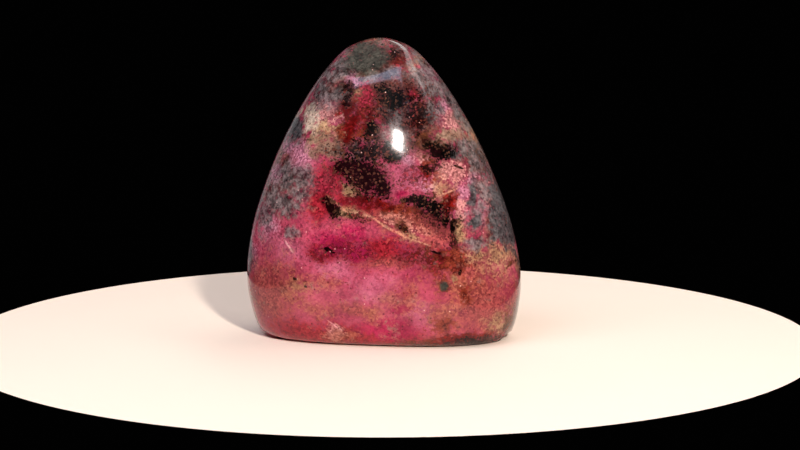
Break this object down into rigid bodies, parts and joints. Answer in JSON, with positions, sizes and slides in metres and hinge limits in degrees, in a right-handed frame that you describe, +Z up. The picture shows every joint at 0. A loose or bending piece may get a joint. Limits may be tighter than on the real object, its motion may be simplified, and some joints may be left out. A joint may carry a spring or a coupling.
{
  "type": "rhodonite freeform",
  "caption": "Polished freeform of rose pink and black rhodonite, a rounded spire on a flat base.",
  "frame": {"origin": "middle of the stone's box, on the plane of its flat base", "axes": "+Z up from the base to the tip, +X along the broad side, and the broad face with the flat under the tip looks towards -Y"},
  "size_m": [0.0926, 0.0556, 0.1],
  "materials": {
    "polished_rhodonite": "polished to a gloss, rose pink with black, grey and ochre patches"
  },
  "bodies": {
    "root": {"rhodonite_stone": "polished_rhodonite"}
  },
  "joints": []
}
